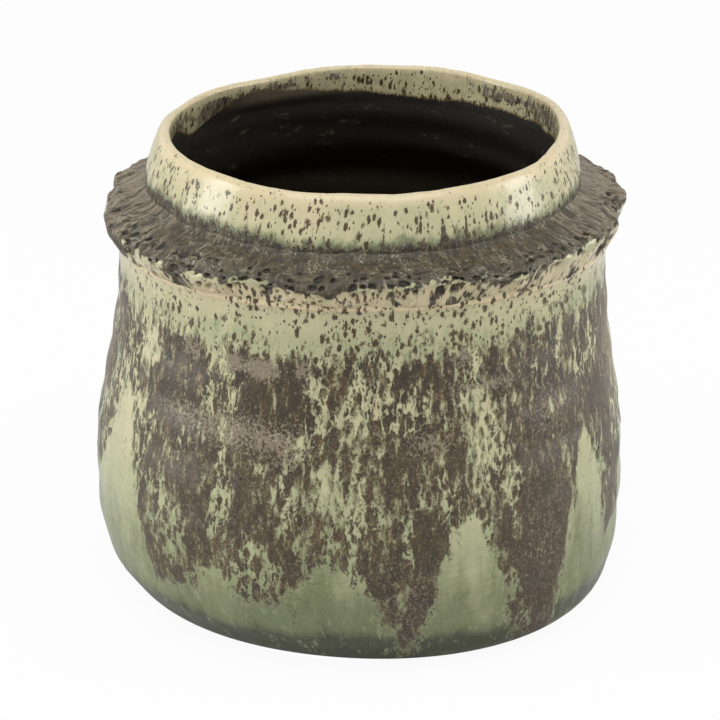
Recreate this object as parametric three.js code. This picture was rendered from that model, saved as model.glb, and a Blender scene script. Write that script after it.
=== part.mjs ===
// A hand-thrown stoneware planter: a bellied pot on a low turned foot, a torn and drooping flange
// round its shoulder, and a short rounded neck with a thin, uneven lip. The inside has a dark liner
// glaze. The pot is made the way a potter makes it, from clay members luted face to face: the foot
// with its floor, the wall, the flange and the neck. Nothing on it moves.
//
// Millimetres, +Z up. The origin is on the ground, at the middle of the belly. The viewer of the
// pot's front looks along +Y, with +X to the right.
import * as THREE from 'three';

// ---- Driving dimensions, millimetres -------------------------------------------------------------
const bodyHeight = 128; // ground to the flat seat on top of the wall
const footRadius = 70; // outer edge of the ring that stands on the ground
const footRingWidth = 10; // flat width of that ring
const footRecess = 2.5; // depth of the turned recess inside the ring
const floorThickness = 5.5; // clay under the planting
const drainRadius = 6.5; // drain hole through the floor
const coveHeight = 6; // sweep from the floor up to the joint between foot and wall
const coveRadius = 12; // and how far in it reaches
const bellyRadius = 90; // widest part of the pot
const bellyHeight = 38;
const rollSharpness = 0.44; // lower turns the pot up from the ground more tightly
const hollowRadius = 80.6; // waist under the shoulder ridge
const hollowDrop = 10; // seat down to that waist
const ridgeRise = 0.8; // how far the thin ridge round the shoulder stands out from the waist
const ridgeDrop = 2; // seat down to the ridge, at the front
const ridgeDip = 3.5; // how much lower the ridge runs at the two sides
const seatMargin = 1.2; // the seat's outer edge, inside the ridge
const wallThickness = 6;
const galleryDepth = 14; // height over which the wall thickens inwards to carry the neck
const flangeOverhang = 3.1; // how far the flange's torn edge reaches past the ridge
const flangeLift = 4.2; // seat up to the middle of that edge
const flangeThickness = 5.2; // of the torn edge
const flangeRise = 12; // seat up to where the flange dies out against the neck
const flangeFeather = 0.9; // thickness of the flange there
const neckSetback = 10.7; // ridge in to the neck where it rises out of the flange
const neckFlare = 0.8; // how much wider the neck's foot is than that
const neckThickness = 5.5;
const neckUpright = 0.5; // height of the neck between the flange and where it rounds in
const lipOverhang = 16; // height over which the neck rounds in to the lip
const lipTuck = 6.7; // neck in to the crest of the lip
const lipThickness = 3.2;
const linerThickness = 0.9; // dark glaze inside
const linerMargin = 10; // lip down to the liner's upper edge

// ---- Clearances, millimetres ---------------------------------------------------------------------
const glazeGap = 0.3; // liner glaze to the clay wall behind it
const lutingGap = 0.3; // flange to the side of the neck
const seatInset = 0.4; // flange's foot inside the seat's outer edge
const drainMargin = 2; // liner glaze wiped back from the drain hole

// ---- How far the pot is from round, millimetres --------------------------------------------------
const footLean = 3.2; // the foot stands this far towards +X
const footLeanHeight = 16;
const neckLean = 1; // the top of the wall this far
const lipLean = 1.1; // and the lip this much further
const throwingPitch = 16; // height of one throwing line, which climbs as it goes round
const throwingDepth = 0.22;
const throwingFade = 12; // over this height the lines die out at the joints
const footWander = 1.8; // size of the largest wave in the foot's plan
const beltWander = 0.7; // in the wall's plan
const lipWander = 1.3; // in the lip's plan
const lipRipple = 0.3; // in the lip's height
const flangeTear = 1.6; // in the plan of the flange's torn edge
const flangeDroop = 0.9; // in that edge's height
// Each wave is a count round the pot, its share of that size, and the angle of a crest in degrees.
const footWaves = [{ count: 3, share: 1, crest: -40 }, { count: 2, share: 0.67, crest: 0 }];
const beltWaves = [{ count: 2, share: 1, crest: 80 }, { count: 3, share: 0.5, crest: -160 }];
const lipPlanWaves = [
  { count: 2, share: 1, crest: 47 },
  { count: 5, share: 0.45, crest: 22 },
  { count: 3, share: 0.35, crest: -53 },
];
const lipHeightWaves = [
  { count: 2, share: 1, crest: 20 },
  { count: 5, share: 1, crest: -64 },
  { count: 9, share: 0.8, crest: -98 },
];
const flangeEdgeWaves = [
  { count: 1, share: 0.7, crest: -90 },
  { count: 3, share: 0.9, crest: -30 },
  { count: 5, share: 0.4, crest: 10 },
  { count: 11, share: 0.3, crest: -95 },
  { count: 19, share: 0.25, crest: -81 },
  { count: 29, share: 0.2, crest: -42 },
];
const flangeHeightWaves = [
  { count: 1, share: 1.8, crest: -55 },
  { count: 4, share: 0.5, crest: -70 },
  { count: 9, share: 0.45, crest: -120 },
  { count: 17, share: 0.4, crest: 35 },
];

// ---- Fineness of the faceted surfaces ------------------------------------------------------------
const stepsRound = 54;
const flangeStepsRound = 108;
const outerRings = 16;
const innerRings = 8;
const rollRings = 6;
const coveRings = 3;
const neckRings = 6;
const neckInnerRings = 4;
const lipRings = 3;
const flangeRings = 6;

// ---- Heights and radii that follow from them -----------------------------------------------------
const floorTop = footRecess + floorThickness;
const baseHeight = floorTop + coveHeight;
const hollowHeight = bodyHeight - hollowDrop;
const ridgeHeight = bodyHeight - ridgeDrop;
const flangeTop = bodyHeight + flangeRise;
const roundInHeight = flangeTop + neckUpright;
const potHeight = roundInHeight + lipOverhang;
const linerTop = potHeight - linerMargin;
const ridgeRadius = hollowRadius + ridgeRise;
const seatRadius = ridgeRadius - seatMargin;
const flangeRadius = ridgeRadius + flangeOverhang;
const neckRadius = ridgeRadius - neckSetback;
const neckFootRadius = neckRadius + neckFlare;
const neckInnerRadius = neckFootRadius - neckThickness;
const lipRadius = neckRadius - lipTuck;

const { smoothstep, lerp, degToRad } = THREE.MathUtils;
const smooth = (value, low, high) => smoothstep(value, low, high);

// Sum of the waves at an angle round the pot, for a largest wave of the given size.
function waves(list, size, angle) {
  const height = ({ count, share, crest }) => size * share * Math.cos(count * (angle - degToRad(crest)));
  return list.reduce((sum, wave) => sum + height(wave), 0);
}

// ---- The pot's outline ---------------------------------------------------------------------------
// Outside of the foot and wall: a quarter of a superellipse rolls up from the ground to the belly,
// then half a cosine wave runs in to the hollow under the ridge.
function outsideRadius(height) {
  if (height < bellyHeight) {
    const below = 1 - height / bellyHeight;
    return lerp(footRadius, bellyRadius, (1 - below ** 2) ** rollSharpness);
  }
  const climb = Math.min(1, (height - bellyHeight) / (hollowHeight - bellyHeight));
  return lerp(bellyRadius, hollowRadius, (1 - Math.cos(Math.PI * climb)) / 2);
}

// Inside of the wall: the outside less the wall, drawn in over the gallery to carry the neck.
function wallInsideRadius(height) {
  const plainWall = outsideRadius(height) - wallThickness;
  return lerp(plainWall, neckInnerRadius, smooth(height, bodyHeight - galleryDepth, bodyHeight));
}

// Outside of the neck: nearly upright out of the flange, then rounded in to the lip.
function neckOutsideRadius(height) {
  const foot = lerp(neckFootRadius, neckRadius, Math.min(1, (height - bodyHeight) / flangeRise));
  const lean = Math.max(0, (height - roundInHeight) / lipOverhang);
  return lerp(foot, lipRadius + lipThickness / 2, lean ** 1.5);
}

// Inside of the neck: from the gallery in to the lip.
function neckInsideRadius(height) {
  const rise = (height - bodyHeight) / (potHeight - lipThickness / 2 - bodyHeight);
  return lerp(neckInnerRadius, lipRadius - lipThickness / 2, smooth(rise, 0, 1));
}

// ---- Profiles ------------------------------------------------------------------------------------
// A profile is a closed run of points, anticlockwise, with radius across and height up. Points with
// skin 1 are on the pot's outer face, where the throwing lines and the ridge's dip show.
const point = (radius, height, skin = 0) => ({ radius, height, skin });

// Points from one parameter value to the other, both ends included.
function run(count, make) {
  return Array.from({ length: count + 1 }, (_, index) => make(index / count));
}

const outsidePoint = (height) => point(outsideRadius(height), height, 1);
const baseSeat = [outsidePoint(baseHeight), point(outsideRadius(baseHeight) - wallThickness, baseHeight)];

// The cove between floor and wall: a quarter of an ellipse, from the floor up to the base's seat.
function covePoint(share) {
  const turn = (share * Math.PI) / 2;
  const inner = baseSeat[1].radius - coveRadius;
  return point(inner + coveRadius * Math.sin(turn), baseHeight - (baseHeight - floorTop) * Math.cos(turn));
}

const wallInside = run(innerRings, (share) => {
  const height = lerp(baseHeight, bodyHeight - galleryDepth, share);
  return point(wallInsideRadius(height), height);
});
const galleryInside = run(3, (share) => {
  const height = lerp(bodyHeight - galleryDepth, bodyHeight, share);
  return point(wallInsideRadius(height), height);
});
const neckInside = run(neckInnerRings, (share) => {
  const height = lerp(bodyHeight, linerTop, share);
  return point(neckInsideRadius(height), height);
});

function footProfile() {
  const ringInner = footRadius - footRingWidth;
  const edge = footRecess / 2;
  return [
    point(drainRadius, footRecess),
    point(ringInner - footRecess, footRecess),
    point(ringInner - edge, edge / 2),
    point(ringInner, 0),
    ...run(rollRings, (share) => outsidePoint(baseHeight * share ** 2)),
    ...run(coveRings, (share) => covePoint(1 - share)),
    point(drainRadius + floorThickness / 4, floorTop),
    point(drainRadius, floorTop - floorThickness / 4),
  ];
}

function wallProfile() {
  return [
    ...run(outerRings, (share) => outsidePoint(lerp(baseHeight, hollowHeight, share))),
    point(lerp(hollowRadius, ridgeRadius, 0.35), lerp(hollowHeight, ridgeHeight, 0.5), 1),
    point(lerp(hollowRadius, ridgeRadius, 0.85), lerp(hollowHeight, ridgeHeight, 0.8), 1),
    point(ridgeRadius, ridgeHeight, 1),
    point(lerp(seatRadius, ridgeRadius, 0.6), lerp(ridgeHeight, bodyHeight, 0.6), 1),
    point(seatRadius, bodyHeight),
    ...galleryInside.slice().reverse(),
    ...wallInside.slice(0, -1).reverse(),
  ];
}

function neckProfile() {
  const lipCentre = potHeight - lipThickness / 2;
  return [
    point(neckFootRadius, bodyHeight),
    point(neckRadius, flangeTop),
    ...run(neckRings, (share) => {
      const height = lerp(roundInHeight, lipCentre, Math.sqrt(share));
      return point(neckOutsideRadius(height), height);
    }),
    ...run(lipRings + 1, (share) => {
      const turn = Math.PI * share;
      const half = lipThickness / 2;
      return point(lipRadius + half * Math.cos(turn), lipCentre + half * Math.sin(turn));
    }).slice(1),
    ...neckInside.slice().reverse(),
  ];
}

function flangeProfile() {
  const edgeHeight = bodyHeight + flangeLift;
  const half = flangeThickness / 2;
  const neckSide = (height) => neckOutsideRadius(height) + lutingGap;
  const across = (share) => lerp(neckSide(flangeTop) + flangeFeather, flangeRadius - half / 2, share);
  const up = (share) => lerp(edgeHeight + half, flangeTop, share);
  const top = new THREE.CubicBezierCurve(
    new THREE.Vector2(across(1), up(0)),
    new THREE.Vector2(across(0.68), up(0.55)),
    new THREE.Vector2(across(0.1), up(0.3)),
    new THREE.Vector2(across(0), up(1)),
  );
  return [
    point(neckSide(bodyHeight), bodyHeight),
    point(seatRadius - seatInset, bodyHeight),
    point(lerp(seatRadius, flangeRadius, 0.25), lerp(bodyHeight, edgeHeight - half, 0.7)),
    point(flangeRadius - half / 2, edgeHeight - half, 1),
    point(flangeRadius, edgeHeight - half / 3, 1),
    point(flangeRadius, edgeHeight + half / 3, 1),
    ...run(flangeRings, (share) => {
      const place = top.getPoint(share);
      return point(place.x, place.y, (1 - share) ** 1.5);
    }),
    point(neckSide(flangeTop), flangeTop),
    point(neckSide(edgeHeight + half), edgeHeight + half),
  ];
}

// The same run of points moved square to itself, towards the pot's axis.
function inset(points, distance) {
  return points.map(({ radius, height }, index) => {
    const before = points[Math.max(0, index - 1)];
    const after = points[Math.min(points.length - 1, index + 1)];
    const along = new THREE.Vector2(after.radius - before.radius, after.height - before.height).normalize();
    return point(radius - distance * along.y, height + distance * along.x);
  });
}

function linerProfile() {
  const cavity = [
    ...run(coveRings, covePoint),
    ...wallInside.slice(1),
    ...galleryInside.slice(1),
    ...neckInside.slice(1),
  ];
  const back = inset(cavity, glazeGap);
  const face = inset(cavity, glazeGap + linerThickness);
  back[0].height = floorTop;
  face[0].height = floorTop + linerThickness;
  const drainEdge = drainRadius + drainMargin;
  return [
    point(drainEdge, floorTop),
    ...back,
    ...face.reverse(),
    point(drainEdge + linerThickness / 2, floorTop + linerThickness),
    point(drainEdge, floorTop + linerThickness / 2),
  ];
}

// ---- Shaping: how each member departs from a true turned form ------------------------------------
// What the whole pot shares: the foot and the neck stand a little to one side, the foot, the belt
// and the lip are out of round, and the lip rises and falls.
function shapePot({ radius, height, skin }, angle) {
  const share = smooth(radius, drainRadius * 2, footRadius - footRingWidth);
  const nearLip = smooth(height, flangeTop, potHeight);
  const nearFoot = 1 - smooth(height, 0, bellyHeight);
  const belt = (1 - nearFoot) * (1 - smooth(height, hollowHeight, flangeTop));
  const lean = footLean * Math.exp(-((height / footLeanHeight) ** 2))
    + neckLean * smooth(height, bellyHeight, hollowHeight)
    + lipLean * nearLip;
  const lines = smooth(height, 0, throwingFade) * (1 - smooth(height, hollowHeight - throwingFade, hollowHeight));
  const throwing = throwingDepth * Math.sin((2 * Math.PI * height) / throwingPitch - angle);
  const outOfRound = nearFoot * waves(footWaves, footWander, angle)
    + belt * waves(beltWaves, beltWander, angle)
    + nearLip * waves(lipPlanWaves, lipWander, angle);
  const shaped = radius + share * (outOfRound + skin * lines * throwing);
  return {
    x: shaped * Math.cos(angle) + share * lean,
    y: shaped * Math.sin(angle),
    z: height + nearLip * waves(lipHeightWaves, lipRipple, angle),
  };
}

// The wall's ridge runs lower at the two sides than at the front and back.
function shapeWall(place, angle) {
  const up = smooth(place.height, hollowHeight, ridgeHeight);
  const down = 1 - smooth(place.height, ridgeHeight, bodyHeight);
  const dip = place.skin * ridgeDip * up * down * Math.cos(angle) ** 2;
  const shaped = shapePot(place, angle);
  shaped.z -= dip;
  return shaped;
}

// The flange's torn edge wanders in and out, and up and down. Its skin is the share that does.
function shapeFlange(place, angle) {
  const wandering = place.skin * waves(flangeEdgeWaves, flangeTear, angle);
  const shaped = shapePot({ ...place, radius: place.radius + wandering, skin: 0 }, angle);
  shaped.z += place.skin * waves(flangeHeightWaves, flangeDroop, angle);
  return shaped;
}

// ---- Solids --------------------------------------------------------------------------------------
// Turns a closed profile round the pot's axis and moves every point to where the shape puts it.
function turned(name, profile, shape, material, steps = stepsRound) {
  const closed = [...profile, profile[0]];
  const outline = closed.map(({ radius, height }) => new THREE.Vector2(radius, height));
  const geometry = new THREE.LatheGeometry(outline, steps);
  const position = geometry.getAttribute('position');
  for (let index = 0; index < position.count; index += 1) {
    const angle = (Math.floor(index / closed.length) / steps) * 2 * Math.PI;
    const { x, y, z } = shape(closed[index % closed.length], angle);
    position.setXYZ(index, x, y, z);
  }
  geometry.computeVertexNormals();
  const mesh = new THREE.Mesh(geometry, material);
  mesh.name = name;
  return mesh;
}

// ---- Finishes ------------------------------------------------------------------------------------
const greenGlaze = new THREE.MeshStandardMaterial({ color: 0x858a66, roughness: 0.25, metalness: 0 });
const umberGlaze = new THREE.MeshStandardMaterial({ color: 0x6b6050, roughness: 0.4, metalness: 0 });
const crustGlaze = new THREE.MeshStandardMaterial({ color: 0x5c5544, roughness: 0.65, metalness: 0 });
const creamGlaze = new THREE.MeshStandardMaterial({ color: 0xc8c09c, roughness: 0.3, metalness: 0 });
const darkLiner = new THREE.MeshStandardMaterial({ color: 0x1b1712, roughness: 0.5, metalness: 0 });

const pot = new THREE.Group();
pot.add(
  turned('foot_base', footProfile(), shapePot, greenGlaze),
  turned('body_wall', wallProfile(), shapeWall, umberGlaze),
  turned('shoulder_flange', flangeProfile(), shapeFlange, crustGlaze, flangeStepsRound),
  turned('neck_collar', neckProfile(), shapePot, creamGlaze),
  turned('liner_glaze', linerProfile(), shapePot, darkLiner),
);

export default pot;
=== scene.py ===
"""A hand-thrown stoneware planter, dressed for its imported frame.

The pot is one fired body, so four skins stand for its members: the wall with its foot, the torn
flange, the neck, and the dark liner glaze inside. Every skin is a closed surface of two parameters,
the angle round the pot and the place along a profile. One glaze material covers the outside, as two
dipped glazes do on the real pot, and reads where each coat lies from attributes on the meshes.
"""

import bpy
import numpy as np
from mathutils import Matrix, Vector


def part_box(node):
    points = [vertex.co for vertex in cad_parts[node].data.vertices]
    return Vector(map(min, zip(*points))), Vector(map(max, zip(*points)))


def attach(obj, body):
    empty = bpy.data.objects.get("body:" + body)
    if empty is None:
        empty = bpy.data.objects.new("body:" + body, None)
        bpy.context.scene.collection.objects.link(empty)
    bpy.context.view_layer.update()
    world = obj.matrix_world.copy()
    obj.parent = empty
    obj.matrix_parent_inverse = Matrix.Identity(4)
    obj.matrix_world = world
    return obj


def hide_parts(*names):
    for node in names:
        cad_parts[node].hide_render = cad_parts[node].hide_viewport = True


bl_info = {
    "name": "Thrown Stoneware Planter",
    "version": (1, 0, 0),
    "blender": (4, 5, 0),
    "location": "View3D > Sidebar > Planter",
    "description": "Builds a hand-thrown planter with a torn flange and running glazes",
    "category": "Add Mesh",
}

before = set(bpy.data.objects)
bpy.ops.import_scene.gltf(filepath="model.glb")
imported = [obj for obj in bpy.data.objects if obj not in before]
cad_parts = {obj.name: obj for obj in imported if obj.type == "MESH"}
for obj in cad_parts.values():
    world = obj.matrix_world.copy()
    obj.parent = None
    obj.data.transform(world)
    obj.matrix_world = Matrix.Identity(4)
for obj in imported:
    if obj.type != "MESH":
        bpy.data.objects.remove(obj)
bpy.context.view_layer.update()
BODY = "root"

MM = 0.001
TURN = 2 * np.pi
BELT = 80 * MM  # radius at which the width of a cell round the pot is true
GRAIN_REACH = 400 * MM  # length of profile that the random lattices cover
JUNCTION = 200 * MM  # place along the pattern where the flange's skin gives way to the neck's
FULL_DRUM = 68 * MM  # radius past which patterns keep their width
DIFFUSE_TENT = 0.55  # the tent's strength as light
GLOSSY_TENT = 0.9  # its strength in reflections
PAPER_HOLE, PAPER_EDGE, PAPER_DEPTH = 72 * MM, 4, 0.1 * MM  # the paper's two radii, and how low it lies
PAPER_COLOUR = (0.66, 0.66, 0.66, 1)
# Lamps, each by name, place, width and depth in metres, and watts.
LAMPS = (
    ("soft_box_left", (-1.1, -0.15, 0.3), (0.5, 1.0), 9.0),
    ("soft_box_right", (1.12, -0.03, 0.28), (0.5, 1.0), 8.0),
    ("soft_box_above", (0.0, -0.45, 1.2), (1.2, 1.0), 10.0),
)
LAMP_AIM = (0, 0, 0.07)
# How far each skin's relief is sunk, in millimetres, so that it stays inside the pot's solids.
WALL_SINK, FLANGE_SINK, NECK_SINK = 0.65, 0.55, 0.22
CRUST_WHOLE, CRUST_NONE, CRUST_FADE = 0.62, -1.6, 3  # most and least crust, and millimetres between


def low(node):
    """Height of a node's underside."""
    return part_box(node)[0][2]


def high(node):
    """Height of a node's top."""
    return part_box(node)[1][2]


# ---- How far the pot is from round, in metres; each wave is a count, a share and a crest in degrees --
FOOT_WAVES = (1.8 * MM, ((3, 1, -40), (2, 0.67, 0)))
BELT_WAVES = (0.7 * MM, ((2, 1, 80), (3, 0.5, -160)))
LIP_PLAN_WAVES = (1.3 * MM, ((2, 1, 47), (5, 0.45, 22), (3, 0.35, -53)))
LIP_HEIGHT_WAVES = (0.3 * MM, ((2, 1, 20), (5, 1, -64), (9, 0.8, -98)))
TEAR_WAVES = (
    1.6 * MM,
    ((1, 0.7, -90), (3, 0.9, -30), (5, 0.4, 10), (11, 0.3, -95), (19, 0.25, -81), (29, 0.2, -42)),
)
DROOP_WAVES = (0.9 * MM, ((1, 1.8, -55), (4, 0.5, -70), (9, 0.45, -120), (17, 0.4, 35)))
FOOT_LEAN = 3.2 * MM
FOOT_LEAN_HEIGHT = 16 * MM
NECK_LEAN = 1 * MM
LIP_LEAN = 1.1 * MM

# ---- Where the umber glaze ran: angle and half-width in degrees, height of the run's tip, and height
# ---- of the clear window after it, in millimetres. The front is from -180 to 0 degrees.
RUNS = (
    (-168, 5, 48, 82),
    (-133, 6, 24, 36),
    (-112, 4, 28, 44),
    (-81, 1.5, 10, 55),
    (-50, 4, -6, 70),
    (-20, 4, 27, 60),
    (4, 3, 40, 66),
    (27, 5, 10, 58),
    (50, 3, 30, 52),
    (72, 4, 16, 70),
    (98, 5, -6, 54),
    (123, 4, 34, 60),
    (146, 4, 20, 66),
)
# Patches, each by angle, height in millimetres, half-width in degrees, half-height and strength.
# Where the umber is thinner, or thicker if the strength is below 0; the one at -6 degrees, on the
# pot's right edge as seen, also paints sheen of grazing reflections.
THINNINGS_AND_EDGE_SHEEN = (
    (-146, 104, 3.5, 10, 0.9),
    (-122, 104, 5, 4, 0.35),
    (-95, 62, 9, 24, 0.34),
    (-92, 92, 4, 10, 0.3),
    (-66, 86, 7, 26, 0.34),
    (-38, 92, 3, 10, 0.35),
    # Partly painted sheen: lightens the pot's right edge as seen.
    (-6, 84, 7, 26, 0.7),
    (-158, 84, 5, 20, 0.2),
    (-134, 60, 9, 26, -0.12),
    (-114, 62, 6, 18, -0.08),
    (-79, 46, 5, 34, -0.3),
    (-49, 50, 6, 52, -0.4),
    (-104, 97, 10, 6, -0.2),
    (-22, 60, 5, 30, -0.2),
    (16, 84, 7, 20, 0.35),
    (27, 50, 5, 40, -0.3),
    (62, 90, 7, 20, 0.35),
    (98, 50, 6, 50, -0.35),
    (112, 78, 7, 16, 0.35),
    (158, 92, 6, 14, 0.35),
)
# Where the umber bloomed to a matt mauve-grey lace; those at -15, -8 and -6 degrees, on the pot's
# right edge as seen, and at -172 degrees, on its left edge, are partly grey streaks and partly
# painted sheen of grazing reflections.
FROSTINGS_AND_EDGE_SHEEN = (
    (-131, 84, 8, 5, 0.62),
    (-118, 83, 8, 7, 0.66),
    (-106, 81, 7, 7, 0.6),
    (-130, 105, 3.5, 4, 0.75),
    (-119, 105, 2.5, 3, 1.3),
    (-112, 104, 3.5, 3.5, 1.5),
    (-103, 105, 2, 4, 0.9),
    (-76, 82, 6, 5, 0.65),
    (-67, 109, 4, 6, 0.75),
    (-63, 98, 9, 2.5, 0.8),
    (-45, 84, 8, 10, 0.45),
    (-49, 40, 7, 20, 0.3),
    (-80, 30, 7, 16, 0.35),
    # These three, at the pot's right edge as seen, are partly painted sheen.
    (-15, 86, 8, 18, 0.65),
    (-6, 70, 7, 30, 0.6),
    (-8, 102, 8, 12, 0.45),
    (35, 88, 9, 8, 0.65),
    (85, 84, 10, 8, 0.65),
    (130, 92, 8, 8, 0.65),
    # Partly painted sheen at the pot's left edge as seen.
    (-172, 88, 9, 20, 0.55),
)
# Where the potter's hand left the wall a little flat.
DENTS = (
    (-150, 62, 12, 8, 0.35),
    (-146, 28, 12, 10, 0.5),
    (-28, 34, 12, 9, 0.35),
    (60, 40, 16, 12, 0.4),
    (130, 30, 14, 10, 0.4),
)
# Where the iron specks on the wall crowd, and then those on the neck.
WALL_SPECKS = (
    (-88, 112, 14, 9, 0.55),
    (-68, 112, 9, 8, 0.5),
    (-45, 115, 12, 7, 0.4),
    (-108, 124, 30, 4, 0.25),
    (-60, 124, 20, 4, 0.3),
    (-140, 112, 10, 6, 0.2),
    (60, 112, 18, 9, 0.35),
    (120, 114, 20, 8, 0.3),
)
NECK_SPECKS = (
    (-148, 148, 12, 7, 0.3),
    (-112, 150, 14, 4, 0.35),
    (-95, 141, 50, 3, 0.2),
    (-60, 147, 14, 4, 0.3),
    (-20, 148, 16, 7, 0.4),
    (60, 148, 25, 6, 0.3),
    (150, 148, 20, 6, 0.3),
)
# Crusts of umber inside the lip.
LIP_CRUSTS = (
    (145, 149, 8, 4, 1.7),
    (168, 150, 11, 5, 1.05),
    (122, 152.5, 16, 3, 1.0),
    (100, 153, 5, 2, 0.8),
    (20, 151, 16, 5, 1.1),
    (45, 152, 14, 3, 0.95),
)
# How much higher the liner glaze ends inside the lip, or lower if below 0: angle and half-width in
# degrees, and millimetres.
LINER_EDGE = (
    (128, 14, 5),
    (105, 12, 1.8),
    (152, 9, -3),
    (169, 7, 3),
    (70, 25, -1.4),
)


# ---- Arithmetic ----------------------------------------------------------------------------------
def smooth(value, start, end):
    """0 up to start, 1 past end, and a cubic ease between them."""
    share = np.clip((value - start) / (end - start), 0, 1)
    return share * share * (3 - 2 * share)


def blend(first, second, share):
    """The value a share of the way from the first to the second."""
    return first + (second - first) * share


def waves(wave_set, angle):
    """Sum of cosines round the pot, each with its count, its share of the set's size and its crest."""
    size, parts = wave_set
    return size * sum(share * np.cos(count * (angle - np.radians(crest))) for count, share, crest in parts)


def apart(angle, degrees):
    """Angle from a bearing, in degrees, between -180 and 180."""
    return (np.degrees(angle) - degrees + 180) % 360 - 180


def patches(angle, height, spots):
    """Sum of soft ellipses, each a bell curve of its own half-width and half-height."""
    total = np.zeros(np.broadcast(angle, height).shape)
    for bearing, middle, wide, tall, strength in spots:
        across = apart(angle, bearing) / wide
        along = (height / MM - middle) / tall
        total += strength * np.exp(-(across**2 + along**2))
    return total


def lattice_values(angle, rise, across, along, seed):
    """Smooth random values from -1 to 1: a lattice of cells round the pot, joined up with itself, each
    across wide and along high, blended by a cubic from cell to cell."""
    cells = max(3, round(TURN * BELT / across))
    lattice = np.random.default_rng(seed).uniform(-1, 1, (int(GRAIN_REACH / along) + 4, cells))
    place_u = (angle / TURN) % 1 * cells
    place_v = (rise + GRAIN_REACH / 4) / along
    column = np.floor(place_u).astype(int)
    row = np.floor(place_v).astype(int)
    u = smooth(place_u - column, 0, 1)
    v = smooth(place_v - row, 0, 1)
    corner = lattice[row, column % cells]
    right = lattice[row, (column + 1) % cells]
    above = lattice[row + 1, column % cells]
    far = lattice[row + 1, (column + 1) % cells]
    return blend(blend(corner, right, u), blend(above, far, u), v)


def grain(angle, rise, *lattices):
    """Sum of lattices, each by its size, the width and height of its cells in millimetres, and a seed."""
    total = 0
    for size, across, along, seed in lattices:
        total = total + size * lattice_values(angle, rise, across * MM, along * MM, seed)
    return total


def pits(angle, rise, cell, share, seed):
    """Hollows from 0 to 1: a jittered point in each square cell, a share of them live, and a bowl of
    random width round every live one."""
    cells = round(TURN * BELT / cell)
    rows = int(GRAIN_REACH / cell) + 4
    draw = np.random.default_rng(seed)
    jitter = draw.uniform(0.25, 0.75, (rows, cells, 2))
    width = draw.uniform(0.15, 0.42, (rows, cells)) * (draw.random((rows, cells)) < share)
    place_u = (angle / TURN) % 1 * cells
    place_v = (rise + GRAIN_REACH / 4) / cell
    column = np.floor(place_u).astype(int)
    row = np.floor(place_v).astype(int)
    deepest = np.zeros(place_u.shape)
    for step_v in (-1, 0, 1):
        for step_u in (-1, 0, 1):
            spot = (row + step_v, (column + step_u) % cells)
            off_u = column + step_u + jitter[spot][..., 0] - place_u
            off_v = row + step_v + jitter[spot][..., 1] - place_v
            reach = np.maximum(width[spot], 1e-6)
            bowl = 1 - smooth(np.hypot(off_u, off_v) / reach, 0.35, 1)
            deepest = np.maximum(deepest, bowl * (width[spot] > 0))
    return deepest


# ---- Sizes and colours that a user would change ----------------------------------------------------
def length(label, words, default):
    """A length in metres."""
    return bpy.props.FloatProperty(
        name=label, description=words, default=default, unit="LENGTH", precision=4
    )


def linear(hex_colour):
    """sRGB hex, such as c8c09c, to linear red, green, blue and alpha 1."""
    channels = [int(hex_colour[index : index + 2], 16) / 255 for index in (0, 2, 4)]
    return tuple(c / 12.92 if c <= 0.04045 else ((c + 0.055) / 1.055) ** 2.4 for c in channels) + (1.0,)


def colour(label, words, hex_colour):
    """A colour, given in sRGB hex."""
    return bpy.props.FloatVectorProperty(
        name=label, description=words, default=linear(hex_colour), subtype="COLOR", size=4, min=0, max=1
    )


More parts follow.
